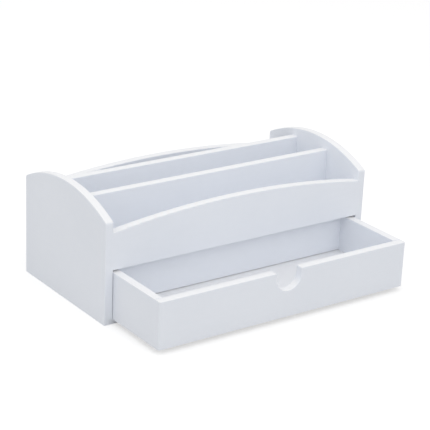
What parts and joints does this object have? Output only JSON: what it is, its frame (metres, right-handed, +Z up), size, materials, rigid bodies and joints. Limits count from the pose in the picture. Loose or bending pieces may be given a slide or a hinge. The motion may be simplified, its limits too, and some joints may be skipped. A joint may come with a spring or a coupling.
{
  "type": "desk organizer with drawer",
  "caption": "White painted board desk organizer: open full-width rows between side panels with arched tops, above an inset sliding drawer with a finger notch.",
  "frame": {"origin": "on the surface the organizer stands on, at the middle of the cabinet's footprint (the open drawer isn't counted)", "axes": "+X along the width to the right as seen from the front, -Y out of the front where the drawer opens, +Z up"},
  "size_m": [0.33, 0.243, 0.129],
  "materials": {
    "white_paint": "satin white paint on fibreboard",
    "dowel_wood": "bare beech dowel",
    "screw_steel": "zinc plated"
  },
  "bodies": {
    "cabinet": {"left_side_panel": "white_paint", "right_side_panel": "white_paint", "front_panel": "white_paint", "back_panel": "white_paint", "front_divider": "white_paint", "rear_divider": "white_paint", "compartment_floor": "white_paint", "base_board": "white_paint", "front_panel_dowels": "dowel_wood", "back_panel_dowels": "dowel_wood", "front_divider_dowels": "dowel_wood", "rear_divider_dowels": "dowel_wood", "base_board_screws": "screw_steel"},
    "drawer": {"drawer_front": "white_paint", "drawer_left_side": "white_paint", "drawer_right_side": "white_paint", "drawer_back": "white_paint", "drawer_bottom": "white_paint", "drawer_front_dowels": "dowel_wood", "drawer_back_dowels": "dowel_wood", "drawer_bottom_nails": "screw_steel"}
  },
  "joints": [
    {"name": "drawer_slide", "type": "slide", "parent": "cabinet", "child": "drawer", "axis": [0, -1, 0], "range_m": [-0.083, 0.013]}
  ]
}
